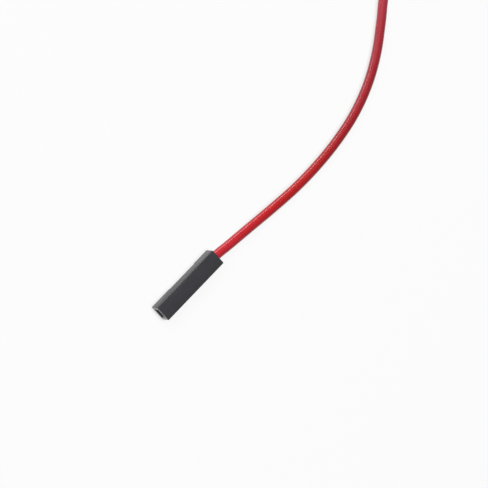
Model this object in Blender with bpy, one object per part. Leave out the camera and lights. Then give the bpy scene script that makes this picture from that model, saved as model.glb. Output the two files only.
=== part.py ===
"""Breadboard jumper wire: a red stranded wire with a one-way 2.54 mm crimp connector housing on each end.

Sizes are in millimetres, and the finished model is in metres, +Z up. The near connector lies on the ground along X
with its mouth towards -X, and the origin is at the bottom centre of its housing. The wire leaves it towards +X and
lies on the ground. It ends in a two-turn coil, held by a tie, and in the far connector.

A connector is modelled in its own frame: u runs from the mouth to the rear, v across, and h towards the latch side.
"""

import math
from collections import namedtuple

import bmesh
import bpy
from mathutils import Matrix, Vector
from mathutils.geometry import interpolate_bezier

MM = 0.001

# Wire
WIRE_DIAMETER = 1.45
STRAND_DIAMETER = 0.127
STRAND_PITCH = 0.16
STRAIGHT_EXIT = 0.45
FLOOR_CLEARANCE = 0.01

# Housing
HOUSING_WALL = 0.325
HOUSING_EDGE = 0.09
FRONT_WALL = 0.8
MOUTH_WIDTH = 1.6
MOUTH_DEPTH = 0.35
PIN_HOLE = 1.1
FRONT_BLOCK_LENGTH = 3.8
REAR_COLLAR_LENGTH = 2.8
RAIL_DROP = 0.28
TONGUE_ROOT_WIDTH = 1.3
TONGUE_TIP_WIDTH = 1.1
TONGUE_INSET = 0.03
TONGUE_STEP = 0.04
TONGUE_GAP = 0.12
TONGUE_GRIP = 0.3

# Terminal, one stamped and folded strip of sheet
SHEET = 0.13
TERMINAL_CLEARANCE = 0.05
CRIMP_CLEARANCE = 0.04
REAR_RECESS = 1.0
INSULATION_CRIMP_LENGTH = 1.75
REAR_NECK_LENGTH = 1.3
CONDUCTOR_CRIMP_LENGTH = 1.7
FRONT_NECK_LENGTH = 0.75
CONTACT_BOX_LENGTH = 4.5
FRONT_GAP = 0.1
NECK_EDGE = 0.145
BOX_CORNER = 0.12
BOX_SEAM = 0.06
PIERCED_LENGTH = 0.7
PIERCED_WIDTH = 0.76
CONTACT_INSET = 0.6
CONTACT_DEPTH = 0.5
CRIMP_RISE = 0.1
CRIMP_ROOM = 0.17
CRIMP_CORNER = 0.28
CRIMP_SEAM = 0.03
CRIMP_TIP = 0.1
STRAND_CLEARANCE = 0.05
BARREL_FLOOR_HALF = 0.1
BARREL_TURN = 76
BARE_START = 0.25
BRUSH_LENGTH = 0.2

# What the fits give
CAVITY_WIDTH = WIRE_DIAMETER + 2 * (CRIMP_CLEARANCE + SHEET + TERMINAL_CLEARANCE)
HOUSING_WIDTH = CAVITY_WIDTH + 2 * HOUSING_WALL
STRIP_HALF = CAVITY_WIDTH / 2 - TERMINAL_CLEARANCE - SHEET / 2
NECK_HALF = STRIP_HALF + NECK_EDGE
BOX_START = FRONT_WALL + FRONT_GAP
BOX_END = BOX_START + CONTACT_BOX_LENGTH
CRIMP_START = BOX_END + FRONT_NECK_LENGTH
CRIMP_END = CRIMP_START + CONDUCTOR_CRIMP_LENGTH
BARREL_START = CRIMP_END + REAR_NECK_LENGTH
BARREL_END = BARREL_START + INSULATION_CRIMP_LENGTH
HOUSING_LENGTH = BARREL_END + REAR_RECESS
WINDOW_END = HOUSING_LENGTH - REAR_COLLAR_LENGTH
INSULATION_END = BARREL_START - BARE_START
BUNDLE_RADIUS = STRAND_PITCH + STRAND_DIAMETER / 2
CRIMP_FLOOR = CRIMP_RISE - STRIP_HALF
BUNDLE_HEIGHT = CRIMP_FLOOR + SHEET / 2 + STRAND_CLEARANCE / 2 + BUNDLE_RADIUS
AXIS_HEIGHT = HOUSING_WIDTH / 2
LYING = WIRE_DIAMETER / 2 + FLOOR_CLEARANCE

# Coil and tie
COIL_CENTRE = (70.5, 5.2)
COIL_RADIUS = 7.65
COIL_LAYERS = 2
COIL_START_ANGLE = 85
COIL_SWEEP = 700
CLIMB_START = 265
CLIMB_SWEEP = 70
TIE_ANGLE = 180
TIE_WIDTH = 2.0
TIE_THICKNESS = 0.3
TIE_CLEARANCE = 0.06
TIE_CORNER = 0.7
TIE_TAIL_WIDTH = 1.45
TIE_TAIL_THICKNESS = 0.6
TIE_TAIL_LENGTH = 5.0
TIE_TWIST = 30
COIL_LIFT = TIE_THICKNESS + TIE_CLEARANCE

# Far connector: how far from the coil and at which angle round it the wire enters, and which way the mouth points
FAR_GAP = 2.5
FAR_ANGLE = 24
FAR_HEADING = -60

# Route of the wire between the near connector and the coil, and from the coil to the far connector: x, y and the
# height of its centre line above where it lies on the ground
RUN_ROUTE = [
    (8.7, -0.30, 0.48),
    (12.5, -0.78, 0.22),
    (17.3, -1.36, 0.0),
    (22.2, -1.76, 0.0),
    (27.1, -1.76, 0.0),
    (31.9, -1.33, 0.0),
    (36.6, -0.40, 0.0),
    (41.2, 1.28, 0.0),
    (45.4, 3.65, 0.0),
    (49.2, 6.53, 0.0),
    (52.3, 9.05, 0.0),
    (56.0, 11.25, 0.0),
    (60.3, 12.7, 0.03),
    (65.2, 13.2, 0.12),
]
TAIL_ROUTE = [
    (71.4, 13.35, 1.84),
    (74.1, 13.65, 1.80),
    (76.7, 13.0, 1.40),
    (78.8, 11.6, 0.85),
]

SAMPLES = 12
TUBE_STEP = 2.4
COIL_STEPS = 48
COIL_SIDES = 10

Fold = namedtuple("Fold", "floor corner side curl turn height")


def colour_material(name, colour, roughness, metallic):
    """A Principled material of one colour."""
    material = bpy.data.materials.new(name)
    material.use_nodes = True
    shader = material.node_tree.nodes["Principled BSDF"]
    shader.inputs["Base Color"].default_value = (*colour, 1.0)
    shader.inputs["Roughness"].default_value = roughness
    shader.inputs["Metallic"].default_value = metallic
    return material


def mesh_of(bm, name, crease_angle):
    """The mesh of a bmesh, with its faces pointing out and smooth where they meet at less than the angle."""
    bmesh.ops.recalc_face_normals(bm, faces=bm.faces)
    mesh = bpy.data.meshes.new(name)
    bm.to_mesh(mesh)
    bm.free()
    mesh.shade_smooth()
    mesh.set_sharp_from_angle(angle=math.radians(crease_angle))
    return mesh


def place(data, name, material, parent=None):
    """A new object in the scene, which shows the mesh or curve in its parent's frame."""
    obj = bpy.data.objects.new(name, data)
    bpy.context.scene.collection.objects.link(obj)
    obj.parent = parent
    if material and not data.materials:
        data.materials.append(material)
    return obj


def block(low, high):
    """A bmesh box between two corners, in millimetres."""
    bm = bmesh.new()
    bmesh.ops.create_cube(bm, size=1.0)
    size = Vector(high) - Vector(low)
    bmesh.ops.scale(bm, vec=size * MM, verts=bm.verts)
    bmesh.ops.translate(bm, vec=(Vector(low) + size / 2) * MM, verts=bm.verts)
    return bm


def loft(rings):
    """A bmesh solid through closed rings of points in millimetres, with flat ends."""
    bm = bmesh.new()
    loops = [[bm.verts.new(Vector(point) * MM) for point in ring] for ring in rings]
    count = len(rings[0])
    for loop, following in zip(loops, loops[1:]):
        for i in range(count):
            j = (i + 1) % count
            bm.faces.new((loop[i], loop[j], following[j], following[i]))
    bm.faces.new(loops[0])
    bm.faces.new(loops[-1])
    return bm


def square_ring(u, width):
    half = width / 2
    return [(u, -half, -half), (u, half, -half), (u, half, half), (u, -half, half)]


# Housing


def housing_mesh():
    """The moulded housing: a square tube with a pin entry, a latch window between two low rails, and a tongue."""
    half = HOUSING_WIDTH / 2
    outline = block((0, -half, -half), (HOUSING_LENGTH, half, half))
    bmesh.ops.bevel(
        outline,
        geom=outline.edges,
        offset=HOUSING_EDGE * MM,
        segments=2,
        profile=0.5,
        affect="EDGES",
    )
    flare = (MOUTH_WIDTH - PIN_HOLE) / MOUTH_DEPTH
    past = 0.5
    cavity = loft(
        [
            square_ring(-past, MOUTH_WIDTH + flare * past),
            square_ring(MOUTH_DEPTH, PIN_HOLE),
            square_ring(FRONT_WALL, PIN_HOLE),
            square_ring(FRONT_WALL, CAVITY_WIDTH),
            square_ring(HOUSING_LENGTH + past, CAVITY_WIDTH),
        ]
    )
    rail_top = half - RAIL_DROP
    recess = block((FRONT_BLOCK_LENGTH, -half - past, rail_top), (WINDOW_END, half + past, half + past))
    window = block((FRONT_BLOCK_LENGTH, -CAVITY_WIDTH / 2, 0), (WINDOW_END, CAVITY_WIDTH / 2, half + past))
    cuts = [("DIFFERENCE", shape) for shape in (cavity, recess, window)]
    return combined(outline, cuts + [("UNION", tongue())])


def tongue():
    """The latch tongue, a springy strip from the rear collar's wall down to behind the terminal box's top."""
    thickness = HOUSING_WALL - 2 * TONGUE_INSET
    root_top = HOUSING_WIDTH / 2 - TONGUE_INSET
    tip_top = STRIP_HALF + SHEET / 2 - TONGUE_STEP

    def section(u, width, top):
        low = top - thickness
        return [(u, -width / 2, low), (u, width / 2, low), (u, width / 2, top), (u, -width / 2, top)]

    return loft(
        [
            section(BOX_END + TONGUE_GAP, TONGUE_TIP_WIDTH, tip_top),
            section(WINDOW_END, TONGUE_ROOT_WIDTH, root_top),
            section(WINDOW_END + TONGUE_GRIP, TONGUE_ROOT_WIDTH, root_top),
        ]
    )


def combined(body, steps):
    """One mesh from a bmesh body and a list of Boolean steps, each an operation and a bmesh."""
    parts = [body] + [shape for _, shape in steps]
    objects = [place(mesh_of(shape, "shape", 30), "shape", None) for shape in parts]
    for (operation, _), other in zip(steps, objects[1:]):
        modifier = objects[0].modifiers.new(operation.title(), "BOOLEAN")
        modifier.operation = operation
        modifier.object = other
        modifier.solver = "EXACT"
    graph = bpy.context.evaluated_depsgraph_get()
    mesh = bpy.data.meshes.new_from_object(objects[0].evaluated_get(graph))
    for obj in objects:
        bpy.data.objects.remove(obj)
    return mesh


# Terminal


def strip_point(fold, distance, bow=0.0):
    """Where the folded strip's middle surface is, (v, h), at a distance from the middle of its floor."""
    bend = fold.corner * math.pi / 2
    if distance <= fold.floor:
        return distance, fold.height
    distance -= fold.floor
    if distance <= bend:
        angle = distance / fold.corner
        return fold.floor + fold.corner * math.sin(angle), fold.height + fold.corner * (1 - math.cos(angle))
    distance -= bend
    wall, top = fold.floor + fold.corner, fold.height + fold.corner
    if distance <= fold.side:
        return wall - bow * math.sin(math.pi * distance / fold.side) ** 2, top + distance
    distance -= fold.side
    top += fold.side
    turn = min(distance / fold.curl, math.radians(fold.turn))
    flap = distance - turn * fold.curl
    return (
        wall - fold.curl * (1 - math.cos(turn)) - flap * math.sin(turn),
        top + fold.curl * math.sin(turn) + flap * math.cos(turn),
    )


def mixed(first, second, share):
    """A fold part of the way from one to the other."""
    return Fold(*(a + (b - a) * share for a, b in zip(first, second)))


def near_columns(fold):
    """Distances of the columns that run the whole length of the terminal, its floor and low sides."""
    bend_end = min(fold.floor + fold.corner * math.pi / 2, NECK_HALF - BOX_CORNER / 2)
    return [fold.floor] + spread(fold.floor, bend_end, 3) + [NECK_HALF]


def spread(low, high, count):
    """Distances after low, up to high, in equal steps."""
    return [low + (high - low) * (i + 1) / count for i in range(count)]


def terminal_mesh():
    """The terminal: a strip folded into a contact box, two crimps and the necks between them."""
    box = Fold(STRIP_HALF - BOX_CORNER, BOX_CORNER, 2 * (STRIP_HALF - BOX_CORNER), BOX_CORNER, 90, -STRIP_HALF)
    crimp_half = BUNDLE_RADIUS + CRIMP_ROOM + SHEET / 2
    crimp_top = BUNDLE_HEIGHT + BUNDLE_RADIUS + STRAND_CLEARANCE + CRIMP_TIP
    crimp_side = crimp_top - CRIMP_FLOOR - CRIMP_CORNER
    crimp_curl = (crimp_half - (SHEET + CRIMP_SEAM) / 2) / 2
    crimp = Fold(crimp_half - CRIMP_CORNER, CRIMP_CORNER, crimp_side, crimp_curl, 180, CRIMP_FLOOR)
    barrel_corner = STRIP_HALF - BARREL_FLOOR_HALF
    barrel = Fold(BARREL_FLOOR_HALF, barrel_corner, 2 * BARREL_FLOOR_HALF, barrel_corner, BARREL_TURN, -STRIP_HALF)

    def after_bend(fold):
        return fold.floor + fold.corner * math.pi / 2

    def curl_end(fold):
        return after_bend(fold) + fold.side + fold.curl * math.radians(fold.turn)

    side_end = after_bend(box) + box.side
    flap = box.floor - BOX_SEAM / 2
    box_columns = spread(NECK_HALF, side_end, 4) + spread(side_end, curl_end(box), 2)
    box_columns += [curl_end(box) + box.floor - PIERCED_WIDTH / 2, curl_end(box) + flap]
    crimp_columns = spread(NECK_HALF, curl_end(crimp), 6) + [curl_end(crimp) + CRIMP_TIP]
    barrel_columns = spread(NECK_HALF, curl_end(barrel), 5)

    pierced = (FRONT_BLOCK_LENGTH + BOX_END) / 2
    contact_start = BOX_START + CONTACT_INSET
    contact_end = pierced - PIERCED_LENGTH / 2 - CONTACT_INSET
    bow_steps = 6
    # Each station: u, fold, the columns beyond the neck's edge, how far the box's sides bow in, and whether the
    # pierced window follows it
    stations = [(BOX_START, box, box_columns, 0, False)]
    for i in range(bow_steps + 1):
        share = i / bow_steps
        depth = CONTACT_DEPTH * math.sin(share * math.pi) ** 2
        stations.append((contact_start + (contact_end - contact_start) * share, box, box_columns, depth, False))
    stations += [
        (pierced - PIERCED_LENGTH / 2, box, box_columns, 0, True),
        (pierced + PIERCED_LENGTH / 2, box, box_columns, 0, False),
        (BOX_END, box, box_columns, 0, False),
        (BOX_END + FRONT_NECK_LENGTH / 3, mixed(box, crimp, 0.2), [], 0, False),
        (BOX_END + FRONT_NECK_LENGTH * 2 / 3, mixed(box, crimp, 0.75), [], 0, False),
        (CRIMP_START, crimp, crimp_columns, 0, False),
        (CRIMP_END, crimp, crimp_columns, 0, False),
        (CRIMP_END + REAR_NECK_LENGTH / 4, mixed(crimp, barrel, 0.2), [], 0, False),
        (CRIMP_END + REAR_NECK_LENGTH / 2, mixed(crimp, barrel, 0.5), [], 0, False),
        (CRIMP_END + REAR_NECK_LENGTH * 3 / 4, mixed(crimp, barrel, 0.8), [], 0, False),
        (BARREL_START, barrel, barrel_columns, 0, False),
        (BARREL_END, barrel, barrel_columns, 0, False),
    ]
    bm = bmesh.new()
    rows = []
    for u, fold, columns, bow, _ in stations:
        distances = near_columns(fold) + columns
        row = {0: bm.verts.new(Vector((u, 0, fold.height)) * MM)}
        for i, distance in enumerate(distances, 1):
            v, h = strip_point(fold, distance, bow)
            row[i] = bm.verts.new(Vector((u, v, h)) * MM)
            row[-i] = bm.verts.new(Vector((u, -v, h)) * MM)
        rows.append(row)
    near = len(near_columns(box))
    for k, (row, following) in enumerate(zip(rows, rows[1:])):
        same_fold = stations[k][1] is stations[k + 1][1]
        last = (len(row) - 1) // 2 if same_fold else near
        last -= stations[k][4]
        for i in range(-last, last):
            bm.faces.new((row[i], row[i + 1], following[i + 1], following[i]))
    bmesh.ops.delete(bm, geom=[vert for vert in bm.verts if not vert.link_faces], context="VERTS")
    return mesh_of(bm, "terminal", 50)


def terminal(name, mesh, material, parent):
    """A terminal in the scene: its folded surface, thickened evenly to both sides."""
    obj = place(mesh, name, material, parent)
    thicken = obj.modifiers.new("Sheet", "SOLIDIFY")
    thicken.thickness = SHEET * MM
    thicken.offset = 0
    thicken.use_even_offset = True
    return obj


# Strands and wire


def tube(name, points, diameter, sides_setting):
    """Curve data for a round tube with closed ends, through points in millimetres."""
    curve = bpy.data.curves.new(name, "CURVE")
    curve.dimensions = "3D"
    curve.bevel_depth = diameter / 2 * MM
    curve.bevel_resolution = sides_setting
    curve.use_fill_caps = True
    spline = curve.splines.new("POLY")
    spline.points.add(len(points) - 1)
    for point, (x, y, z) in zip(spline.points, points):
        point.co = (x * MM, y * MM, z * MM, 1.0)
    spline.use_smooth = True
    return curve


def strand_curves():
    """The seven bared strands: they leave the insulation, bend down to the terminal's floor and lie in its crimp."""
    bundle = [(0.0, 0.0)]
    for i in range(6):
        angle = math.radians(60 * i)
        bundle.append((STRAND_PITCH * math.cos(angle), STRAND_PITCH * math.sin(angle)))
    bare = INSULATION_END - CRIMP_END
    shape = [(0.03, 0.0), (0.15, 0.02), (0.35, 0.2), (0.6, 0.62), (0.82, 0.93), (0.98, 1.0)]
    line = [(INSULATION_END - bare * along, BUNDLE_HEIGHT * drop) for along, drop in shape]
    line.append((CRIMP_START - BRUSH_LENGTH, BUNDLE_HEIGHT))
    return [
        tube(f"strand_{i}", [(u, dv, h + dh) for u, h in line], STRAND_DIAMETER, 1)
        for i, (dv, dh) in enumerate(bundle, 1)
    ]


def smooth_line(points):
    """A smooth curve through points, as many short steps."""
    points = [Vector(point) for point in points]
    ends = [2 * points[0] - points[1]] + points + [2 * points[-1] - points[-2]]
    line = []
    for before, start, end, after in zip(ends, ends[1:], ends[2:], ends[3:]):
        leave, arrive = start + (end - before) / 6, end - (after - start) / 6
        line += interpolate_bezier(start, leave, arrive, end, SAMPLES)[:-1]
    return line + [points[-1]]


def thinned(line, step):
    """Points of a fine line about a step apart, with its first and last."""
    kept = [line[0]]
    for point in line[1:-1]:
        if (point - kept[-1]).length >= step and (point - line[-1]).length >= step / 2:
            kept.append(point)
    return kept + [line[-1]]


def near_axis(u):
    """A point on the near connector's centre line."""
    return -HOUSING_LENGTH / 2 + u, 0.0, AXIS_HEIGHT


def far_axis(u):
    """A point on the far connector's centre line."""
    reach = Vector((COIL_RADIUS + WIRE_DIAMETER / 2 + FAR_GAP, 0))
    reach.rotate(Matrix.Rotation(math.radians(FAR_ANGLE), 2))
    past = Vector((HOUSING_LENGTH - u, 0))
    past.rotate(Matrix.Rotation(math.radians(FAR_HEADING), 2))
    return *(Vector(COIL_CENTRE) + reach + past), AXIS_HEIGHT


def coil_point(sweep):
    """A point of the coil's centre line, by how many degrees it has swept from where the wire joins it."""
    angle = math.radians(COIL_START_ANGLE - sweep)
    layer, within = divmod(sweep, 360)
    climb = min(max((within - CLIMB_START) / CLIMB_SWEEP, 0), 1) if layer + 1 < COIL_LAYERS else 0
    height = LYING + COIL_LIFT + WIRE_DIAMETER * (layer + climb * climb * (3 - 2 * climb))
    x, y = COIL_CENTRE
    return x + COIL_RADIUS * math.cos(angle), y + COIL_RADIUS * math.sin(angle), height


def clear_of_coil(point):
    """Whether the wire can pass here outside the coil's solid."""
    across = math.hypot(point.x - COIL_CENTRE[0], point.y - COIL_CENTRE[1]) - COIL_RADIUS
    low = LYING + COIL_LIFT
    high = low + WIRE_DIAMETER * (COIL_LAYERS - 1)
    above = point.z - min(max(point.z, low), high)
    return math.hypot(across, above) >= WIRE_DIAMETER + TIE_CLEARANCE


def run_points():
    """The wire's centre line from inside the near housing to where it would merge with the coil."""
    lying = [(x, y, LYING + lift) for x, y, lift in RUN_ROUTE]
    inside = [near_axis(u) for u in (INSULATION_END, BARREL_END, HOUSING_LENGTH + STRAIGHT_EXIT)]
    line = smooth_line(inside + lying + [coil_point(0)])
    line = [point for point in line if clear_of_coil(point)]
    return thinned(line, TUBE_STEP * WIRE_DIAMETER)


def tail_points():
    """The wire's centre line from the top of the coil to inside the far housing."""
    raised = [(x, y, LYING + lift) for x, y, lift in TAIL_ROUTE]
    inside = [far_axis(u) for u in (HOUSING_LENGTH + STRAIGHT_EXIT, BARREL_END, INSULATION_END)]
    line = smooth_line([coil_point(COIL_SWEEP)] + raised + inside)
    while not clear_of_coil(line[0]):
        line.pop(0)
    return thinned(line, TUBE_STEP * WIRE_DIAMETER)


# Coil and tie


def coil_mesh():
    """A turned ring of the coil's outer shape, its turns on top of each other."""
    radius = WIRE_DIAMETER / 2
    low = LYING + COIL_LIFT
    high = low + WIRE_DIAMETER * (COIL_LAYERS - 1)
    bm = bmesh.new()
    section = []
    for i in range(COIL_SIDES):
        angle = math.tau * (i + 0.5) / COIL_SIDES
        height = high if math.sin(angle) > 0 else low
        point = (COIL_RADIUS + radius * math.cos(angle), 0, height + radius * math.sin(angle))
        section.append(bm.verts.new(Vector(point) * MM))
    edges = [bm.edges.new((a, b)) for a, b in zip(section, section[1:] + section[:1])]
    bmesh.ops.spin(
        bm,
        geom=section + edges,
        cent=(0, 0, 0),
        axis=(0, 0, 1),
        angle=math.tau,
        steps=COIL_STEPS,
        use_merge=True,
    )
    bmesh.ops.translate(bm, vec=Vector((*COIL_CENTRE, 0)) * MM, verts=bm.verts)
    return mesh_of(bm, "wire_coil", 50)


def tie_mesh():
    """The tie: a flat strip round the coil's bundle of turns, with its twisted ends inside the coil."""
    half_width = TIE_WIDTH / 2
    radius = WIRE_DIAMETER / 2
    outer = COIL_RADIUS + radius + TIE_CLEARANCE
    inner = math.sqrt((COIL_RADIUS - radius) ** 2 - half_width**2) - TIE_CLEARANCE
    low = FLOOR_CLEARANCE + TIE_THICKNESS
    high = FLOOR_CLEARANCE + COIL_LIFT + COIL_LAYERS * WIRE_DIAMETER + TIE_CLEARANCE

    def outline(grow):
        """A rounded rectangle round the bundle, in the plane across it: distance from the coil's centre, height."""
        points = []
        right, left = outer - TIE_CORNER, inner + TIE_CORNER
        bottom, top = low + TIE_CORNER, high - TIE_CORNER
        centres = [(right, bottom), (right, top), (left, top), (left, bottom)]
        for quarter, (across, up) in enumerate(centres):
            for step in range(4):
                angle = math.radians(90 * (quarter - 1) + 30 * step)
                reach = TIE_CORNER + grow
                points.append((across + reach * math.cos(angle), up + reach * math.sin(angle)))
        return points

    bm = bmesh.new()
    loops = [
        [bm.verts.new(Vector((across, side * half_width, up)) * MM) for across, up in outline(grow)]
        for grow, side in ((0, -1), (0, 1), (TIE_THICKNESS, 1), (TIE_THICKNESS, -1))
    ]
    count = len(loops[0])
    for loop, following in zip(loops, loops[1:] + loops[:1]):
        for i in range(count):
            j = (i + 1) % count
            bm.faces.new((loop[i], loop[j], following[j], following[i]))
    mesh = combined(bm, [("UNION", tie_tail(inner - TIE_THICKNESS / 2, high - TIE_CORNER))])
    turn = math.radians(TIE_ANGLE)
    for vert in mesh.vertices:
        x, y, z = vert.co
        vert.co.x = x * math.cos(turn) - y * math.sin(turn) + COIL_CENTRE[0] * MM
        vert.co.y = x * math.sin(turn) + y * math.cos(turn) + COIL_CENTRE[1] * MM
    return mesh


def tie_tail(start, height):
    """The strip's two ends, twisted together: from the band's inner side down towards the ground in the coil."""
    steps = 24
    half_width, half_thickness = TIE_TAIL_WIDTH / 2, TIE_TAIL_THICKNESS / 2
    low = math.hypot(half_width, half_thickness) + FLOOR_CLEARANCE
    corners = [(-1, -1), (1, -1), (1, 1), (-1, 1)]
    rings = []
    for i in range(steps + 1):
        share = i / steps
        turn = Matrix.Rotation(math.radians(TIE_TWIST * i), 2)
        middle = low + (height - low) * (1 - share) ** 2
        ring = []
        for side, over in corners:
            across, up = turn @ Vector((side * half_width, over * half_thickness))
            ring.append((start - TIE_TAIL_LENGTH * share, across, middle + up))
        rings.append(ring)
    return loft(rings)


def connector(name, mouth, turn, parts, materials):
    """A connector at a place: an empty at the middle of its mouth, turned, which carries its pieces."""
    holder = bpy.data.objects.new(name + "_connector", None)
    bpy.context.scene.collection.objects.link(holder)
    holder.location = Vector(mouth) * MM
    holder.rotation_euler = turn
    place(parts["housing"], name + "_housing", materials["housing"], holder)
    terminal(name + "_terminal", parts["terminal"], materials["terminal"], holder)
    for i, strand in enumerate(parts["strands"], 1):
        place(strand, f"{name}_strand_{i}", materials["strand"], holder)
    return holder


def main():
    for obj in list(bpy.data.objects):
        bpy.data.objects.remove(obj)
    materials = {
        "housing": colour_material("housing_black", (0.012, 0.012, 0.013), 0.45, 0.0),
        "terminal": colour_material("terminal_tin", (0.72, 0.72, 0.70), 0.3, 1.0),
        "strand": colour_material("strand_copper", (0.80, 0.44, 0.28), 0.35, 1.0),
        "wire": colour_material("wire_red", (0.55, 0.018, 0.03), 0.4, 0.0),
        "tie": colour_material("tie_black", (0.02, 0.02, 0.02), 0.5, 0.0),
    }
    parts = {"housing": housing_mesh(), "terminal": terminal_mesh(), "strands": strand_curves()}
    connector("near", near_axis(0), (math.pi, 0, 0), parts, materials)
    connector("far", far_axis(0), (0, 0, math.radians(FAR_HEADING + 180)), parts, materials)
    place(tube("wire_run", run_points(), WIRE_DIAMETER, 2), "wire_run", materials["wire"])
    place(coil_mesh(), "wire_coil", materials["wire"])
    place(tube("wire_tail", tail_points(), WIRE_DIAMETER, 2), "wire_tail", materials["wire"])
    place(tie_mesh(), "coil_tie", materials["tie"])


main()
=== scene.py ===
"""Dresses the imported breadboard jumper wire: a red stranded wire with a black crimp connector on each end.

The connectors are built in their own axes: u runs from the mouth to the rear, v across, and h towards the
latch side. The near one lies with its latch down, and the far one, beyond the coil, with its latch up. The
wire, the strands and the tie are profiles carried along a line. Everything is in metres.
"""

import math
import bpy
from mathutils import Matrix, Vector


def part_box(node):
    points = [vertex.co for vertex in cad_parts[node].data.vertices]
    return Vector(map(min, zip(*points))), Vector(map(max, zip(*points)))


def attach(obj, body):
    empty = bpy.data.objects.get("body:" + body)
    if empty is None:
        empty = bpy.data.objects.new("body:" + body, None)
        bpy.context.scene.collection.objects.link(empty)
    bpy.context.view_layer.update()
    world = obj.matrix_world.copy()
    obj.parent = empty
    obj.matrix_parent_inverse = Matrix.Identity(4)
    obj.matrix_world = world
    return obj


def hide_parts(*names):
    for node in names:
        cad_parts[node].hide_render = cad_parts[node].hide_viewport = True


bl_info = {
    "name": "Breadboard jumper wire",
    "version": (1, 0, 0),
    "blender": (4, 5, 0),
    "location": "View3D > Sidebar > Jumper wire",
    "description": "Models the wire, connectors, strands and coil tie of a breadboard jumper wire",
    "category": "Object",
}

import bmesh
import bpy
from bpy.props import FloatProperty, FloatVectorProperty, IntProperty, PointerProperty
from mathutils import Matrix, Vector
from mathutils.geometry import interpolate_bezier

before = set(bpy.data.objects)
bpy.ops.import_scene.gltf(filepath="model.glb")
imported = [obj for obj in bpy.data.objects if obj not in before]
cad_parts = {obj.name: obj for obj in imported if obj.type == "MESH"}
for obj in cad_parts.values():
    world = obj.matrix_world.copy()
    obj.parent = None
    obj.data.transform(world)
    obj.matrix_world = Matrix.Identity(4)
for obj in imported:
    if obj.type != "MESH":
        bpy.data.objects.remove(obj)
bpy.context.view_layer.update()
BODY = "root"
ENDS = ("near", "far")

MM = 0.001

# Sizes that the frame gives
NEAR_LOW, NEAR_HIGH = (Vector(corner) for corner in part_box("near_housing"))
HOUSING_LENGTH = NEAR_HIGH.x - NEAR_LOW.x
INSULATION_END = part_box("wire_run")[0][0] - NEAR_LOW.x
STRAND_LOW, STRAND_HIGH = (Vector(corner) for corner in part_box("near_strand_1"))
STRAND_DIAMETER = STRAND_HIGH.y - STRAND_LOW.y
BUNDLE_DROP = STRAND_HIGH.z - STRAND_LOW.z - STRAND_DIAMETER
STRAND_TIP = STRAND_LOW.x - NEAR_LOW.x

# Wire
WIRE_DIAMETER = 1.45 * MM
FLOOR_CLEARANCE = 0.01 * MM
LYING = WIRE_DIAMETER / 2 + FLOOR_CLEARANCE
STRAIGHT_EXIT = 0.45 * MM
BARREL_END = 10.9 * MM
BORE_RADIUS = 0.25 * MM
BORE_DEPTH = 0.06 * MM

# Strands: the dip to the floor of the crimp is in shares of the bared length and of the whole drop
STRAND_PITCH = 0.16 * MM
STRAND_COUNT = 7
STRAND_SIDES = 10
CRIMP_REAR = 7.85 * MM
STRAND_ROOT = 0.03
STRAND_DIP = [
    (0.0, 0.0),
    (0.12, 0.02),
    (0.32, 0.2),
    (0.57, 0.62),
    (0.79, 0.93),
    (0.95, 1.0),
    (1.4, 1.0),
    (2.0, 1.0),
]

# Painted light and shade along the insulation: its red darkens along the middle of the run (painted shade),
# and grows brighter and paler near the connector and towards the coil (painted sheen). Shares of red, green
# and blue, up to a distance
PAINTED_LIGHT_REACH = 60 * MM
PAINTED_LIGHT_STOPS = [
    (0.1, (1.16, 2.4, 3.6)),
    (0.3, (1.0, 1.0, 1.0)),
    (0.5, (0.76, 1.0, 1.6)),
    (0.7, (0.76, 2.0, 3.2)),
    (0.85, (0.88, 5.0, 6.6)),
    (1.0, (0.94, 4.0, 5.0)),
]

# Connector
MOUTH_FACE_DEPTH = 0.1 * MM
HOUSING_GLOSS = 0.24
MOUTH_GLOSS = 0.16

# How a solid's mesh is joined up: angles in degrees
MERGE_DISTANCE = 0.0005 * MM
FLAT_ANGLE = 0.6
REFINED_CREASE = 40
ROUNDED_CREASE = 50
CREASE_ANGLE = 35

# Coil and tie, with angles in degrees
COIL_CENTRE = Vector((70.5 * MM, 5.2 * MM))
COIL_RADIUS = 7.65 * MM
COIL_LAYERS = 2
COIL_START_ANGLE = 85
COIL_SWEEP = 700
COIL_STEP = 17.5
CLIMB_START = 265
CLIMB_SWEEP = 70
TIE_THICKNESS = 0.3 * MM
TIE_CLEARANCE = 0.06 * MM
TIE_ANGLE = 180
TIE_TAIL_LENGTH = 5.0 * MM
TIE_LOOP_CORNER = 0.85 * MM
TIE_CORNER_STEPS = 8
TIE_END_HEIGHT = 0.8 * MM
TIE_END_MARGIN = 0.05 * MM
TIE_END_STEPS = 80
TIE_END_SPACING = 0.6
COIL_LIFT = TIE_THICKNESS + TIE_CLEARANCE
FAR_HEADING = -60

# Route of the wire's centre line: x, y and its height above where it lies on the ground
RUN_ROUTE = [
    (0.0087, -0.0003, 0.00048),
    (0.0125, -0.00078, 0.00022),
    (0.0173, -0.00136, 0.0),
    (0.0222, -0.00176, 0.0),
    (0.0271, -0.00176, 0.0),
    (0.0319, -0.00133, 0.0),
    (0.0366, -0.0004, 0.0),
    (0.0412, 0.00128, 0.0),
    (0.0454, 0.00365, 0.0),
    (0.0492, 0.00653, 0.0),
    (0.0523, 0.00905, 0.0),
    (0.0560, 0.01125, 0.0),
    (0.0603, 0.0127, 0.00003),
    (0.0652, 0.0132, 0.00012),
]
TAIL_ROUTE = [
    (0.0714, 0.01335, 0.00184),
    (0.0741, 0.01365, 0.00180),
    (0.0767, 0.0130, 0.00140),
    (0.0788, 0.0116, 0.00085),
]

# Camera: where it is, and which way the picture's right and bottom edges point
CAMERA_PLACE = Vector((-113.0 * MM, 137.3 * MM, 480.0 * MM))
PICTURE_RIGHT = Vector((0.6716, -0.6469, 0.3612))
PICTURE_DOWN = Vector((-0.7009, -0.7128, 0.0265))
PICTURE_SIZE = 488
FOCAL_PIXELS = 3500
SENSOR = 36

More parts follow.
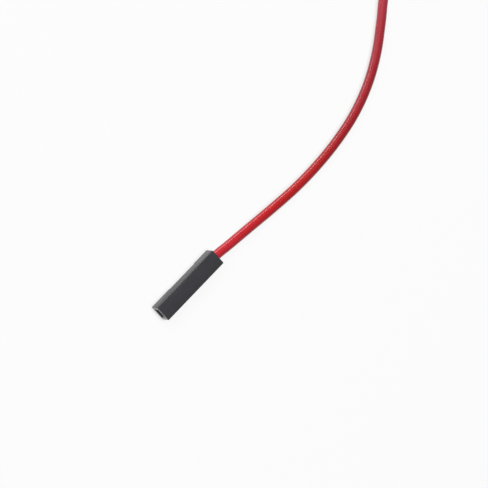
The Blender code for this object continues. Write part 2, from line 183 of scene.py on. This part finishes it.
# Light and floor
LIT_PLACE = Vector((25 * MM, 0, 0))
KEY_TOWARDS = Vector((-0.1, 0.51, 0.85))
KEY_DISTANCE = 0.6
KEY_SIZE = (0.48, 0.48)
STRIP_TOWARDS = Vector((0.14, 0.99, 0.17))
STRIP_DISTANCE = 0.5
STRIP_SIZE = (0.7, 0.09)
CONTACT_REACH = 0.6 * MM
TABLE_REACH = 1.5

# Scales of the noise in each finish, in patches to a metre
NYLON_GRAIN, NYLON_FLOW = 26000, 900
TIN_ROLLING, TIN_BLOOM = 22000, 2600
COPPER_DRAWING, COPPER_BROWNING = 60000, 2400
RIB_WANDER, RIB_DEPTH = 520, 300
INSULATION_DRAWING, INSULATION_CLOUD, INSULATION_SKIN = 4200, 160, 9000
TIE_EMBOSS, TIE_DUST = 31000, 1500
TABLE_GRAIN = 900

# How far the ribs on the insulation stray from even spacing, in radians
RIB_STRAY = 7.0


# Geometry helpers


def smooth_line(points, samples=12):
    """A smooth curve through points, as many short steps."""
    points = [Vector(point) for point in points]
    ends = [2 * points[0] - points[1]] + points + [2 * points[-1] - points[-2]]
    line = []
    for before, start, end, after in zip(ends, ends[1:], ends[2:], ends[3:]):
        leave, arrive = start + (end - before) / 6, end - (after - start) / 6
        line += interpolate_bezier(start, leave, arrive, end, samples)[:-1]
    return line + [points[-1]]


def frames_along(points, side=Vector((0, 0, 1))):
    """Placements along a line: Z follows it, and Y starts near the side and turns only as the line does."""
    frames = []
    for i, point in enumerate(points):
        ahead = (points[min(i + 1, len(points) - 1)] - points[max(i - 1, 0)]).normalized()
        side = (side - side.dot(ahead) * ahead).normalized()
        turn = Matrix((side.cross(ahead), side, ahead)).transposed()
        frames.append(Matrix.Translation(point) @ turn.to_4x4())
    return frames


def round_profile(radius, sides):
    return [
        Vector((radius * math.cos(math.tau * i / sides), radius * math.sin(math.tau * i / sides), 0))
        for i in range(sides)
    ]


def sweep(bm, profile, frames, closed=False):
    """Carries a closed profile through the frames. Each point keeps where it would be on a straight piece."""
    straight = bm.verts.layers.float_vector.get("straight") or bm.verts.layers.float_vector.new("straight")
    ring = [bm.verts.new(frames[0] @ point) for point in profile]
    for vert, point in zip(ring, profile):
        vert[straight] = point
    edges = [bm.edges.new(pair) for pair in zip(ring, ring[1:] + ring[:1])]
    first = edges
    along = 0.0
    for before, after in zip(frames, frames[1:]):
        made = bmesh.ops.extrude_edge_only(bm, edges=edges)["geom"]
        verts = [item for item in made if isinstance(item, bmesh.types.BMVert)]
        new = set(verts)
        edges = [item for item in made if isinstance(item, bmesh.types.BMEdge) and new.issuperset(item.verts)]
        bmesh.ops.transform(bm, matrix=after @ before.inverted(), verts=verts)
        along += (after.translation - before.translation).length
        for vert in verts:
            vert[straight] = (*vert[straight][:2], along)
    if closed:
        bmesh.ops.bridge_loops(bm, edges=first + edges)
        return []
    return [bmesh.ops.contextual_create(bm, geom=loop)["faces"][0] for loop in (first, edges)]


def finished(bm, name, crease_angle=CREASE_ANGLE):
    """A new piece from a bmesh, facing outwards, shaded smooth with sharp creases by angle."""
    bmesh.ops.recalc_face_normals(bm, faces=bm.faces)
    mesh = bpy.data.meshes.new(name)
    bm.to_mesh(mesh)
    bm.free()
    mesh.shade_smooth()
    mesh.set_sharp_from_angle(angle=math.radians(crease_angle))
    piece = bpy.data.objects.new(name, mesh)
    bpy.context.scene.collection.objects.link(piece)
    return piece


def dressed(piece, materials, nodes):
    """Gives a piece its materials, hides the solids that it stands for and parents it to the body's empty."""
    for material in materials:
        piece.data.materials.append(material)
    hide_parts(*nodes)
    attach(piece, BODY)
    return piece


def refined(node, name, edge):
    """A piece in the exact shape of a solid, its facets joined and its edges rounded by a small radius."""
    bm = bmesh.new()
    bm.from_mesh(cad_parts[node].data)
    bmesh.ops.remove_doubles(bm, verts=bm.verts, dist=MERGE_DISTANCE)
    bmesh.ops.dissolve_limit(bm, angle_limit=math.radians(FLAT_ANGLE), verts=bm.verts, edges=bm.edges)
    piece = finished(bm, name, REFINED_CREASE)
    rounding = piece.modifiers.new("Rounded edges", "BEVEL")
    rounding.width = edge
    rounding.segments = 2
    rounding.limit_method = "ANGLE"
    rounding.angle_limit = math.radians(ROUNDED_CREASE)
    return piece


def connector_frame(end):
    """The matrix from a connector's own axes to the scene's."""
    low, high = (Vector(corner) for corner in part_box(f"{end}_housing"))
    if end == "near":
        turn = Matrix.Rotation(math.pi, 4, "X")
    else:
        turn = Matrix.Rotation(math.radians(FAR_HEADING + 180), 4, "Z")
    return Matrix.Translation((low + high) / 2) @ turn @ Matrix.Translation((-HOUSING_LENGTH / 2, 0, 0))


def coil_point(sweep_angle):
    """A point of the coil's centre line, by how many degrees it has swept from where the wire joins it."""
    angle = math.radians(COIL_START_ANGLE - sweep_angle)
    layer, within = divmod(sweep_angle, 360)
    climb = min(max((within - CLIMB_START) / CLIMB_SWEEP, 0), 1) if layer + 1 < COIL_LAYERS else 0
    height = LYING + COIL_LIFT + WIRE_DIAMETER * (layer + climb * climb * (3 - 2 * climb))
    x, y = COIL_CENTRE
    return Vector((x + COIL_RADIUS * math.cos(angle), y + COIL_RADIUS * math.sin(angle), height))


def wire_line():
    """The wire's centre line, from inside the near housing through the coil to inside the far one."""
    inside = (INSULATION_END, BARREL_END, HOUSING_LENGTH + STRAIGHT_EXIT)
    near, far = connector_frame("near"), connector_frame("far")
    points = [near @ Vector((u, 0, 0)) for u in inside]
    points += [Vector((x, y, LYING + lift)) for x, y, lift in RUN_ROUTE]
    points += [coil_point(COIL_STEP * i) for i in range(int(COIL_SWEEP / COIL_STEP) + 1)]
    points += [Vector((x, y, LYING + lift)) for x, y, lift in TAIL_ROUTE]
    points += [far @ Vector((u, 0, 0)) for u in reversed(inside)]
    return smooth_line(points)


# Shader helpers


class Value:
    """A shader socket that takes part in sums: each operator adds its Math node."""

    def __init__(self, nodes, socket):
        self.nodes = nodes
        self.socket = socket

    def __add__(self, other):
        return self.nodes.math("ADD", self, other)

    def __sub__(self, other):
        return self.nodes.math("SUBTRACT", self, other)

    def __rsub__(self, other):
        return self.nodes.math("SUBTRACT", other, self)

    def __mul__(self, other):
        return self.nodes.math("MULTIPLY", self, other)

    def __truediv__(self, other):
        return self.nodes.math("DIVIDE", self, other)

    def __rtruediv__(self, other):
        return self.nodes.math("DIVIDE", other, self)

    def __pow__(self, other):
        return self.nodes.math("POWER", self, other)

    def __rpow__(self, other):
        return self.nodes.math("POWER", other, self)

    __radd__ = __add__
    __rmul__ = __mul__

    def sine(self):
        return self.nodes.math("SINE", self)


class Nodes:
    """A material's node tree, with one method that adds a node."""

    def __init__(self, name):
        self.material = bpy.data.materials.new(name)
        self.material.use_nodes = True
        self.tree = self.material.node_tree
        self.shader = self.tree.nodes["Principled BSDF"]
        self.output = self.tree.nodes["Material Output"]

    def add(self, kind, settings=None, inputs=(), output=0):
        """A node of a type, with its settings, and values or links by socket name or place."""
        node = self.tree.nodes.new(kind)
        for key, value in (settings or {}).items():
            if key == "stops":
                self.set_stops(node.color_ramp, value)
            else:
                setattr(node, key, value)
        self.fill(node, inputs if isinstance(inputs, dict) else dict(enumerate(inputs)))
        return Value(self, node.outputs[output])

    def set_stops(self, ramp, stops):
        for element, (place, colour) in zip(ramp.elements, (stops[0], stops[-1])):
            element.position, element.color = place, colour
        for place, colour in stops[1:-1]:
            ramp.elements.new(place).color = colour

    def fill(self, node, inputs):
        for key, value in inputs.items():
            if isinstance(value, Value):
                self.tree.links.new(value.socket, node.inputs[key])
            else:
                node.inputs[key].default_value = value

    def math(self, operation, *values):
        return self.add("ShaderNodeMath", {"operation": operation}, values)

    def place(self):
        return self.add("ShaderNodeTexCoord", output="Object")

    def straight(self):
        """Where each point would be on a straight piece."""
        return self.add("ShaderNodeAttribute", {"attribute_name": "straight"}, output="Vector")

    def parts(self, place):
        """The X, Y and Z of a place."""
        node = self.add("ShaderNodeSeparateXYZ", {}, [place]).socket.node
        return [Value(self, output) for output in node.outputs]

    def stretched(self, place, scale):
        """A place, scaled differently along each axis."""
        return self.add("ShaderNodeVectorMath", {"operation": "MULTIPLY"}, [place, scale])

    def noise(self, place, scale, detail=2.0, roughness=0.5):
        inputs = {"Vector": place, "Scale": scale, "Detail": detail, "Roughness": roughness}
        return self.add("ShaderNodeTexNoise", {}, inputs, "Fac")

    def mixed(self, factor, first, second, blend="MIX"):
        """A colour between two others, or their product."""
        settings = {"data_type": "RGBA", "blend_type": blend}
        return self.add("ShaderNodeMix", settings, {0: factor, 6: first, 7: second}, 2)

    def bump(self, height, distance, strength=1.0):
        return self.add("ShaderNodeBump", {}, {"Strength": strength, "Distance": distance, "Height": height})

    def finish(self, **inputs):
        """Sets the surface's sockets, by names with _ for a space."""
        self.fill(self.shader, {key.replace("_", " "): value for key, value in inputs.items()})
        return self.material


def opaque(colour, share=1.0):
    """A colour with full alpha, its light multiplied by a share."""
    return (*(channel * share for channel in colour), 1.0)


def moulded_plastic(name, colour, gloss):
    """Satin black nylon: a very fine moulded grain, faint flow marks and slightly uneven gloss."""
    nodes = Nodes(name)
    place = nodes.place()
    grain = nodes.noise(place, NYLON_GRAIN)
    flow = nodes.noise(nodes.stretched(place, (0.35, 1.0, 1.0)), NYLON_FLOW, 3.0, 0.6)
    return nodes.finish(
        Base_Color=nodes.mixed(flow, opaque(colour, 0.8), opaque(colour, 1.3)),
        Roughness=gloss + flow * 0.12 + grain * 0.05,
        Normal=nodes.bump(grain * 0.4 + flow, 0.012 * MM, 0.3),
    )


def drawn_tin(name, colour):
    """Bright tin plate on stamped strip: rolling lines, small pits and a thin dull bloom."""
    nodes = Nodes(name)
    place = nodes.place()
    lines = nodes.noise(nodes.stretched(place, (0.06, 1.0, 1.0)), TIN_ROLLING, 3.0, 0.65)
    bloom = nodes.noise(place, TIN_BLOOM, 3.0)
    return nodes.finish(
        Base_Color=nodes.mixed(bloom ** 2.0, opaque(colour), opaque(colour, 0.68)),
        Metallic=1.0,
        Roughness=0.16 + lines * 0.12 + bloom * 0.16,
        Normal=nodes.bump(lines, 0.004 * MM, 0.5),
    )


def bare_copper(name, colour):
    """Bright copper wire with draw lines and patches that have begun to brown."""
    nodes = Nodes(name)
    straight = nodes.straight()
    lines = nodes.noise(nodes.stretched(straight, (1.0, 1.0, 0.04)), COPPER_DRAWING)
    brown = nodes.noise(straight, COPPER_BROWNING, 3.0, 0.6)
    red, green, blue = colour
    browned = opaque((red, green * 0.7, blue * 0.6), 0.6)
    return nodes.finish(
        Base_Color=nodes.mixed(brown ** 2.0, opaque(colour), browned),
        Metallic=1.0,
        Roughness=0.2 + lines * 0.14 + brown * 0.1,
        Normal=nodes.bump(lines, 0.002 * MM, 0.4),
    )


def extruded_insulation(name, colour, rib_spacing, rib_height):
    """PVC insulation: fine uneven ribs across it, faint lines along it, and painted light and shade along its
    length.
    """
    nodes = Nodes(name)
    straight = nodes.straight()
    along = nodes.parts(straight)[2]
    wander = nodes.noise(nodes.stretched(straight, (0.2, 0.2, 1.0)), RIB_WANDER)
    ribs = (along * (math.tau / rib_spacing) + wander * RIB_STRAY).sine() * 0.5 + 0.5
    depth = nodes.noise(nodes.stretched(straight, (0.5, 0.5, 1.0)), RIB_DEPTH)
    draw = nodes.noise(nodes.stretched(straight, (1.0, 1.0, 0.02)), INSULATION_DRAWING, 3.0, 0.6)
    cloud = nodes.noise(straight, INSULATION_CLOUD, 3.0)
    skin = nodes.noise(straight, INSULATION_SKIN)
    ribbed = ribs * depth
    stops = [(place, opaque([a * b for a, b in zip(colour, share)])) for place, share in PAINTED_LIGHT_STOPS]
    # This ramp paints light and shade along the wire: painted shade darkens the middle of the run, and
    # painted sheen pales it near the connector and towards the coil.
    painted_light_and_shade = nodes.add("ShaderNodeValToRGB", {"stops": stops}, [along / PAINTED_LIGHT_REACH])
    mottle = nodes.mixed(cloud * 0.6 + ribbed * 0.3, (0.86, 0.65, 0.7, 1.0), (1.14, 1.5, 1.45, 1.0))
    return nodes.finish(
        Base_Color=nodes.mixed(1.0, painted_light_and_shade, mottle, "MULTIPLY"),
        Roughness=0.24 + draw * 0.06 + skin * 0.02,
        Normal=nodes.bump(ribbed + draw * 0.1 + skin * 0.01, rib_height, 0.5),
    )


def coated_strip(name, colour):
    """The tie's soft plastic coat: a fine crosswise linen-like emboss."""
    nodes = Nodes(name)
    across, _, along = nodes.parts(nodes.straight())
    emboss = (along * TIE_EMBOSS).sine() * (across * TIE_EMBOSS).sine()
    dust = nodes.noise(nodes.place(), TIE_DUST, 3.0)
    return nodes.finish(
        Base_Color=nodes.mixed(dust, opaque(colour, 0.8), opaque(colour, 1.5)),
        Roughness=0.42 + dust * 0.14,
        Normal=nodes.bump(emboss * 0.5 + dust, 0.01 * MM, 0.5),
    )


def white_table(name, colour, lift):
    """The floor: pale paper that the camera sees as white, with the part's shadow and contact line."""
    nodes = Nodes(name)
    grain = nodes.noise(nodes.place(), TABLE_GRAIN, 3.0)
    nodes.finish(Base_Color=opaque(colour), Roughness=0.9, Normal=nodes.bump(grain, 0.02 * MM, 0.1))
    glow = nodes.add("ShaderNodeEmission", {}, {"Color": (1, 1, 1, 1), "Strength": 1.0})
    path = nodes.add("ShaderNodeLightPath").socket.node
    rays = ("Is Camera Ray", "Is Glossy Ray", "Is Transmission Ray")
    camera, glossy, clear = (Value(nodes, path.outputs[ray]) for ray in rays)
    seen = camera + glossy + clear
    open_floor = nodes.add("ShaderNodeAmbientOcclusion", {"samples": 8}, {"Distance": CONTACT_REACH}, "AO")
    paper = Value(nodes, nodes.shader.outputs[0])
    mix = nodes.add("ShaderNodeMixShader", {}, [seen * open_floor * lift, paper, glow])
    nodes.tree.links.new(mix.socket, nodes.output.inputs["Surface"])
    return nodes.material


# Settings that a user would change


class JUMPER_PG_wire(bpy.types.PropertyGroup):
    """Sizes and colour of the wire and its strands."""

    colour: FloatVectorProperty(
        name="Insulation colour",
        description="Colour of the PVC insulation",
        subtype="COLOR",
        default=(0.47, 0.006, 0.007),
        min=0,
        max=1,
    )
    copper: FloatVectorProperty(
        name="Copper colour",
        description="Colour of the bare strands",
        subtype="COLOR",
        default=(0.86, 0.47, 0.30),
        min=0,
        max=1,
    )
    sides: IntProperty(
        name="Sides", description="Sides of the insulation's round section", default=28, min=8, max=64
    )
    rib_spacing: FloatProperty(
        name="Rib spacing",
        description="Distance between the fine ribs across the insulation",
        default=0.45 * MM,
        min=0.1 * MM,
        unit="LENGTH",
    )
    rib_height: FloatProperty(
        name="Rib height",
        description="How high the fine ribs stand",
        default=0.006 * MM,
        min=0,
        unit="LENGTH",
    )
    strand_turn: FloatProperty(
        name="Strand turn",
        description="How far the bared strands turn round each other",
        default=math.radians(70),
        subtype="ANGLE",
    )


class JUMPER_PG_connector(bpy.types.PropertyGroup):
    """Colours and edges of the connectors."""

    colour: FloatVectorProperty(
        name="Housing colour",
        description="Colour of the moulded housing",
        subtype="COLOR",
        default=(0.036, 0.0345, 0.040),
        min=0,
        max=1,
    )
    # The mouth's end face is painted paler than the housing: a painted sheen that makes it show brighter than
    # the sides. Its lower roughness is set apart.
    painted_sheen: FloatVectorProperty(
        name="Mouth colour",
        description="Colour of the mouth's end face, which plugging rubs paler and smoother",
        subtype="COLOR",
        default=(0.15, 0.145, 0.148),
        min=0,
        max=1,
    )
    tin: FloatVectorProperty(
        name="Tin colour",
        description="Colour of the plated terminal",
        subtype="COLOR",
        default=(0.80, 0.80, 0.78),
        min=0,
        max=1,
    )
    housing_edge: FloatProperty(
        name="Housing edge",
        description="Radius of the housing's inner and outer edges",
        default=0.03 * MM,
        min=0,
        unit="LENGTH",
    )
    terminal_edge: FloatProperty(
        name="Terminal edge",
        description="Radius of the stamped strip's edges",
        default=0.02 * MM,
        min=0,
        unit="LENGTH",
    )


class JUMPER_PG_tie(bpy.types.PropertyGroup):
    """Sizes and colour of the coil tie."""

    colour: FloatVectorProperty(
        name="Tie colour",
        description="Colour of the strip's plastic coat",
        subtype="COLOR",
        default=(0.022, 0.022, 0.024),
        min=0,
        max=1,
    )
    width: FloatProperty(
        name="Width", description="Width of the strip", default=1.9 * MM, min=0.5 * MM, unit="LENGTH"
    )
    end_width: FloatProperty(
        name="Twisted width",
        description="Width of the strip where its two ends are twisted together",
        default=1.45 * MM,
        min=0.5 * MM,
        unit="LENGTH",
    )
    turns: FloatProperty(name="Turns", description="Turns of the twisted ends", default=2.0, min=0.5, max=6)


class JUMPER_PG_stage(bpy.types.PropertyGroup):
    """Floor and light of the picture."""

    floor: FloatVectorProperty(
        name="Floor colour",
        description="Colour of the table under the wire",
        subtype="COLOR",
        default=(0.75, 0.75, 0.75),
        min=0,
        max=1,
    )
    lift: FloatProperty(
        name="Floor lift",
        description="How much of the floor's white the camera sees without shade",
        default=0.9,
        min=0,
        max=1,
        subtype="FACTOR",
    )
    sky: FloatProperty(
        name="Sky", description="Strength of the even light from all round", default=0.12, min=0
    )
    reflected_sky: FloatProperty(
        name="Reflected sky",
        description="How bright that light shows in metal and gloss",
        default=0.34,
        min=0,
    )
    key: FloatProperty(
        name="Key light",
        description="Power of the large soft light at the picture's upper left",
        default=4.3,
        min=0,
        unit="POWER",
    )
    strip: FloatProperty(
        name="Strip light",
        description="Power of the long low light that draws a line along the wire",
        default=1.9,
        min=0,
        unit="POWER",
    )


# Operators, one for each piece or group of like pieces


class JUMPER_OT_camera(bpy.types.Operator):
    """Place the camera at the photograph's viewing angle"""

    bl_idname = "jumper.camera"
    bl_label = "Camera"

    def execute(self, context):
        lens = bpy.data.cameras.new("Camera")
        lens.sensor_width = SENSOR
        lens.lens = SENSOR * FOCAL_PIXELS / PICTURE_SIZE
        camera = bpy.data.objects.new("Camera", lens)
        context.scene.collection.objects.link(camera)
        right = PICTURE_RIGHT.normalized()
        up = -(PICTURE_DOWN - PICTURE_DOWN.dot(right) * right).normalized()
        turn = Matrix((right, up, right.cross(up))).transposed().to_4x4()
        camera.matrix_world = Matrix.Translation(CAMERA_PLACE) @ turn
        context.scene.camera = camera
        return {"FINISHED"}


class JUMPER_OT_housings(bpy.types.Operator):
    """Give both moulded housings their rounded edges and plastic"""

    bl_idname = "jumper.housings"
    bl_label = "Housings"

    def execute(self, context):
        settings = context.scene.jumper_connector
        plastic = moulded_plastic("housing_black", settings.colour, HOUSING_GLOSS)
        # The second plastic, for the mouth's end face: its paler colour is painted sheen.
        painted_sheen = moulded_plastic("mouth_rubbed", settings.painted_sheen, MOUTH_GLOSS)
        for end in ENDS:
            node = f"{end}_housing"
            piece = refined(node, f"{end}_shell", settings.housing_edge)
            from_scene = connector_frame(end).inverted()
            for face in piece.data.polygons:
                at_mouth = (from_scene @ face.center).x < MOUTH_FACE_DEPTH
                face.material_index = int(at_mouth and (from_scene.to_3x3() @ face.normal).x < -0.5)
            dressed(piece, [plastic, painted_sheen], [node])
        return {"FINISHED"}


class JUMPER_OT_terminals(bpy.types.Operator):
    """Give both stamped terminals their rounded edges and tin plate"""

    bl_idname = "jumper.terminals"
    bl_label = "Terminals"

    def execute(self, context):
        settings = context.scene.jumper_connector
        tin = drawn_tin("terminal_tin", settings.tin)
        for end in ENDS:
            node = f"{end}_terminal"
            piece = refined(node, f"{end}_contact", settings.terminal_edge)
            dressed(piece, [tin], [node])
        return {"FINISHED"}


class JUMPER_OT_strands(bpy.types.Operator):
    """Model the seven twisted copper strands in each conductor crimp"""

    bl_idname = "jumper.strands"
    bl_label = "Strands"

    def execute(self, context):
        settings = context.scene.jumper_wire
        copper = bare_copper("strand_copper", settings.copper)
        bare = INSULATION_END - CRIMP_REAR
        start = INSULATION_END - STRAND_ROOT * bare
        line = [Vector((start - bare * along, 0, -BUNDLE_DROP * drop)) for along, drop in STRAND_DIP]
        line = smooth_line(line + [Vector((STRAND_TIP, 0, -BUNDLE_DROP))], 6)
        for end in ENDS:
            middle = frames_along([connector_frame(end) @ point for point in line])
            for number in range(STRAND_COUNT):
                piece = self.strand(end, number, middle, settings.strand_turn)
                dressed(piece, [copper], [f"{end}_strand_{number + 1}"])
        return {"FINISHED"}

    def strand(self, end, number, middle, turn):
        """One strand, the first in the middle and the others round it."""
        reach = Vector((STRAND_PITCH if number else 0.0, 0, 0))
        points = []
        for i, place in enumerate(middle):
            angle = math.tau * number / (STRAND_COUNT - 1) + turn * i / (len(middle) - 1)
            points.append(place @ (Matrix.Rotation(angle, 3, "Z") @ reach))
        bm = bmesh.new()
        tips = sweep(bm, round_profile(STRAND_DIAMETER / 2, STRAND_SIDES), frames_along(points))
        bmesh.ops.inset_region(bm, faces=tips, thickness=STRAND_DIAMETER / 6, depth=STRAND_DIAMETER / 10)
        return finished(bm, f"{end}_copper_{number + 1}")


class JUMPER_OT_tie(bpy.types.Operator):
    """Model the coated strip round the coil, with its two ends twisted together"""

    bl_idname = "jumper.tie"
    bl_label = "Coil tie"

    def execute(self, context):
        settings = context.scene.jumper_tie
        bm = bmesh.new()
        sweep(bm, self.strip_profile(settings.width), self.loop_frames(), closed=True)
        for side in (-1, 1):
            frames = self.end_frames(side, settings.turns)
            tips = sweep(bm, self.strip_profile(settings.end_width), frames)
            bmesh.ops.inset_region(bm, faces=tips, thickness=TIE_THICKNESS / 8, depth=TIE_THICKNESS / 12)
        place = Matrix.Translation((*COIL_CENTRE, 0)) @ Matrix.Rotation(math.radians(TIE_ANGLE), 4, "Z")
        bmesh.ops.transform(bm, matrix=place, verts=bm.verts)
        piece = finished(bm, "twist_tie")
        dressed(piece, [coated_strip("tie_black", settings.colour)], ["coil_tie"])
        return {"FINISHED"}

    def strip_profile(self, width):
        """The strip's section: flat, with the ridge of its iron wire along the middle."""
        core, flat = TIE_THICKNESS / 2, TIE_THICKNESS / 4
        half = width / 2
        rim = [(half, flat * 0.4), (half - flat, flat)]
        ridge = [(core * 1.5, flat), (core * 0.7, core * 0.86), (0, core)]
        top = rim + ridge
        upper = top + [(-x, y) for x, y in reversed(top[:-1])]
        lower = [(x, -y) for x, y in reversed(upper)]
        return [Vector((x, y, 0)) for x, y in upper + lower]

    def loop_frames(self):
        """The strip's placements round the bundle of turns, in the plane across it."""
        clear = WIRE_DIAMETER / 2 + TIE_CLEARANCE + TIE_THICKNESS / 2
        low = FLOOR_CLEARANCE + TIE_THICKNESS / 2
        high = low + 2 * clear + WIRE_DIAMETER * (COIL_LAYERS - 1)
        left, right = COIL_RADIUS - clear - TIE_CLEARANCE, COIL_RADIUS + clear
        corner = TIE_LOOP_CORNER
        centres = [(right - corner, low + corner), (right - corner, high - corner)]
        centres += [(left + corner, high - corner), (left + corner, low + corner)]
        frames = []
        for quarter, (across, up) in enumerate(centres):
            for step in range(TIE_CORNER_STEPS + 1):
                angle = math.tau / 4 * (quarter - 1 + step / TIE_CORNER_STEPS)
                out = Vector((math.cos(angle), 0, math.sin(angle)))
                ahead = Vector((-math.sin(angle), 0, math.cos(angle)))
                turn = Matrix((out.cross(ahead), out, ahead)).transposed().to_4x4()
                frames.append(Matrix.Translation(Vector((across, 0, up)) + out * corner) @ turn)
        return frames

    def end_frames(self, side, turns):
        """One of the two ends, wound round the other, from the loop's inner side down to the ground."""
        start = COIL_RADIUS - WIRE_DIAMETER / 2 - 2 * TIE_CLEARANCE - TIE_THICKNESS / 2
        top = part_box("coil_tie")[1][2] - TIE_THICKNESS - TIE_LOOP_CORNER + TIE_THICKNESS / 2
        low = TIE_END_HEIGHT
        line = []
        for i in range(TIE_END_STEPS + 1):
            share = i / TIE_END_STEPS
            across = start - (TIE_TAIL_LENGTH - TIE_END_MARGIN) * share
            line.append(Vector((across, 0, low + (top - low) * (1 - share) ** 2)))
        apart = Matrix.Translation((0, side * TIE_THICKNESS * TIE_END_SPACING, 0))
        return [
            place @ Matrix.Rotation(math.tau * turns * i / TIE_END_STEPS, 4, "Z") @ apart
            for i, place in enumerate(frames_along(line))
        ]


class JUMPER_OT_wire(bpy.types.Operator):
    """Model the insulated wire from end to end"""

    bl_idname = "jumper.wire"
    bl_label = "Wire"

    def execute(self, context):
        settings = context.scene.jumper_wire
        line = wire_line()
        bm = bmesh.new()
        tips = sweep(bm, round_profile(WIRE_DIAMETER / 2, settings.sides), frames_along(line))
        bmesh.ops.inset_region(bm, faces=tips, thickness=WIRE_DIAMETER / 2 - BORE_RADIUS)
        bmesh.ops.inset_region(bm, faces=tips, thickness=BORE_DEPTH / 10, depth=-BORE_DEPTH)
        for tip in tips:
            tip.material_index = 1
        piece = finished(bm, "insulation")
        red = extruded_insulation("wire_red", settings.colour, settings.rib_spacing, settings.rib_height)
        copper = bpy.data.materials["strand_copper"]
        dressed(piece, [red, copper], ["wire_run", "wire_coil", "wire_tail"])
        on_cord = ["far_shell", "far_contact", "twist_tie"]
        on_cord += [f"far_copper_{number + 1}" for number in range(STRAND_COUNT)]
        return {"FINISHED"}


class JUMPER_OT_stage(bpy.types.Operator):
    """Add the white table, the soft key light and the even light round it"""

    bl_idname = "jumper.stage"
    bl_label = "Stage"

    def execute(self, context):
        settings = context.scene.jumper_stage
        self.table(context, settings)
        key = self.lamp(context, "Key", settings.key, KEY_TOWARDS, KEY_DISTANCE, KEY_SIZE)
        key.visible_glossy = False
        strip = self.lamp(context, "Strip", settings.strip, STRIP_TOWARDS, STRIP_DISTANCE, STRIP_SIZE)
        strip.visible_diffuse = False
        context.scene.world = self.sky(settings)
        context.scene.view_settings.view_transform = "Standard"
        return {"FINISHED"}

    def sky(self, settings):
        """White all round: weak as light, and stronger where metal and gloss reflect it."""
        world = bpy.data.worlds.new("Studio")
        world.use_nodes = True
        tree = world.node_tree
        background = tree.nodes["Background"]
        background.inputs["Color"].default_value = (1, 1, 1, 1)
        path = tree.nodes.new("ShaderNodeLightPath")
        strength = tree.nodes.new("ShaderNodeMath")
        strength.operation = "MULTIPLY_ADD"
        strength.inputs[1].default_value = settings.reflected_sky - settings.sky
        strength.inputs[2].default_value = settings.sky
        tree.links.new(path.outputs["Is Glossy Ray"], strength.inputs[0])
        tree.links.new(strength.outputs[0], background.inputs["Strength"])
        return world

    def table(self, context, settings):
        bm = bmesh.new()
        bmesh.ops.create_grid(bm, x_segments=1, y_segments=1, size=TABLE_REACH)
        mesh = bpy.data.meshes.new("table")
        bm.to_mesh(mesh)
        bm.free()
        mesh.materials.append(white_table("table_white", settings.floor, settings.lift))
        table = bpy.data.objects.new("table", mesh)
        context.scene.collection.objects.link(table)

    def lamp(self, context, name, power, towards, distance, size):
        """A soft lamp that looks at the wire from a direction, as wide and as high as the size says."""
        lamp = bpy.data.lights.new(name, "AREA")
        lamp.shape = "RECTANGLE"
        lamp.size, lamp.size_y = size
        lamp.energy = power
        light = bpy.data.objects.new(name, lamp)
        context.scene.collection.objects.link(light)
        towards = towards.normalized()
        light.location = LIT_PLACE + towards * distance
        light.rotation_euler = towards.to_track_quat("Z", "Y").to_euler()
        return light


class JUMPER_PT_panel(bpy.types.Panel):
    """Lists the settings and the operators"""

    bl_idname = "JUMPER_PT_panel"
    bl_label = "Jumper wire"
    bl_space_type = "VIEW_3D"
    bl_region_type = "UI"
    bl_category = "Jumper wire"

    def draw(self, context):
        layout = self.layout
        for name in SETTINGS:
            group = getattr(context.scene, name)
            box = layout.box()
            for key in group.__annotations__:
                box.prop(group, key)
        for operator in OPERATORS:
            layout.operator(operator.bl_idname)


SETTINGS = {
    "jumper_wire": JUMPER_PG_wire,
    "jumper_connector": JUMPER_PG_connector,
    "jumper_tie": JUMPER_PG_tie,
    "jumper_stage": JUMPER_PG_stage,
}
OPERATORS = (
    JUMPER_OT_camera,
    JUMPER_OT_housings,
    JUMPER_OT_terminals,
    JUMPER_OT_strands,
    JUMPER_OT_tie,
    JUMPER_OT_wire,
    JUMPER_OT_stage,
)


def register():
    for group in SETTINGS.values():
        bpy.utils.register_class(group)
    for name, group in SETTINGS.items():
        setattr(bpy.types.Scene, name, PointerProperty(type=group))
    for operator in OPERATORS:
        bpy.utils.register_class(operator)
    bpy.utils.register_class(JUMPER_PT_panel)


def unregister():
    bpy.utils.unregister_class(JUMPER_PT_panel)
    for operator in reversed(OPERATORS):
        bpy.utils.unregister_class(operator)
    for name, group in SETTINGS.items():
        delattr(bpy.types.Scene, name)
        bpy.utils.unregister_class(group)


def main():
    register()
    bpy.ops.jumper.camera()
    bpy.ops.jumper.housings()
    bpy.ops.jumper.terminals()
    bpy.ops.jumper.strands()
    bpy.ops.jumper.tie()
    bpy.ops.jumper.wire()
    bpy.ops.jumper.stage()


if __name__ == "__main__":
    main()
